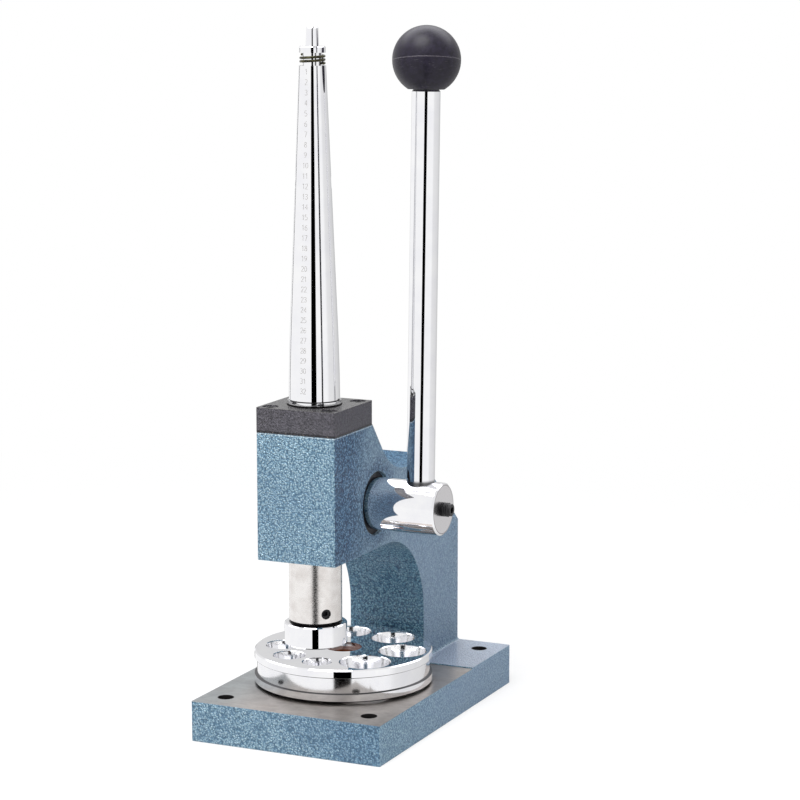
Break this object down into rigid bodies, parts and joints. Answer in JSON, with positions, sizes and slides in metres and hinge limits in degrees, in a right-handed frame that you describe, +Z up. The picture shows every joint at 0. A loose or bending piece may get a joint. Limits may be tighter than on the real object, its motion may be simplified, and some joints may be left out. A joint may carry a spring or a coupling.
{
  "type": "ring stretcher",
  "caption": "Hand-cranked bench ring stretcher: a lever and rack drive a ram that spreads a split tapered mandrel and presses rings into a turning reducing die.",
  "frame": {"origin": "centre of the rectangular base's underside", "axes": "+X towards the lever's side, +Y to the rear where the column stands, +Z up along the mandrel"},
  "size_m": [0.1125, 0.162, 0.3472],
  "materials": {
    "hammer_paint": "blue hammertone paint over cast iron, bare machined strip on the base",
    "black_plate": "fine textured black",
    "black_oxide": "black oxide",
    "chrome": "polished",
    "bare_steel": "turned, satin",
    "bronze": "plain bearing bronze",
    "dark_bush": "oiled dark bronze",
    "spring_wire": "plated wire",
    "black_plastic": "glossy"
  },
  "bodies": {
    "body": {"frame": "hammer_paint", "top_plate": "black_plate", "plate_screws": "black_oxide", "mandrel_spring": "spring_wire", "upper_ram_bush": "bronze", "lower_ram_bush": "bronze", "shaft_bush_right": "dark_bush", "shaft_bush_left": "bronze", "die_pivot_pin": "bare_steel", "die_thrust_washer": "bronze"},
    "lever": {"pinion_shaft": "chrome", "shaft_retainer": "bare_steel", "retainer_screw": "black_oxide", "lever_rod": "chrome", "ball_knob": "black_plastic", "lever_set_screw": "black_oxide"},
    "ram": {"ram": "bare_steel", "ram_collar": "chrome", "ram_grub_screw": "black_oxide", "expander_core": "chrome", "core_pin": "bare_steel"},
    "segment_1": {"mandrel_segment_1": "chrome"},
    "segment_2": {"mandrel_segment_2": "chrome"},
    "segment_3": {"mandrel_segment_3": "chrome"},
    "segment_4": {"mandrel_segment_4": "chrome"},
    "die": {"reducing_die": "chrome", "die_bush": "bronze"}
  },
  "joints": [
    {"name": "lever_turn", "type": "hinge", "parent": "body", "child": "lever", "pos_m": [0, -0.02025, 0.1138], "axis": [1, 0, 0], "range_deg": [-40.16, 38.15]},
    {"name": "ram_slide", "type": "slide", "parent": "body", "child": "ram", "axis": [0, 0, 1], "range_m": [-0.0095, 0.01]},
    {"name": "segment_1_slide", "type": "slide", "parent": "body", "child": "segment_1", "axis": [1, 0, 0], "range_m": [-0.0003239, 0.000341]},
    {"name": "segment_2_slide", "type": "slide", "parent": "body", "child": "segment_2", "axis": [0, 1, 0], "range_m": [-0.0003239, 0.000341]},
    {"name": "segment_3_slide", "type": "slide", "parent": "body", "child": "segment_3", "axis": [-1, 0, 0], "range_m": [-0.0003239, 0.000341]},
    {"name": "segment_4_slide", "type": "slide", "parent": "body", "child": "segment_4", "axis": [0, -1, 0], "range_m": [-0.0003239, 0.000341]},
    {"name": "die_spin", "type": "hinge", "parent": "body", "child": "die", "pos_m": [0, -0.0152, 0.0209], "axis": [0, 0, 1], "continuous": true}
  ],
  "couplings": [
    {"joint": "ram_slide", "follows": "lever_turn", "m_per_rad": -0.01425},
    {"joint": "segment_1_slide", "follows": "lever_turn", "m_per_rad": -0.00048588},
    {"joint": "segment_2_slide", "follows": "lever_turn", "m_per_rad": -0.00048588},
    {"joint": "segment_3_slide", "follows": "lever_turn", "m_per_rad": -0.00048588},
    {"joint": "segment_4_slide", "follows": "lever_turn", "m_per_rad": -0.00048588}
  ]
}
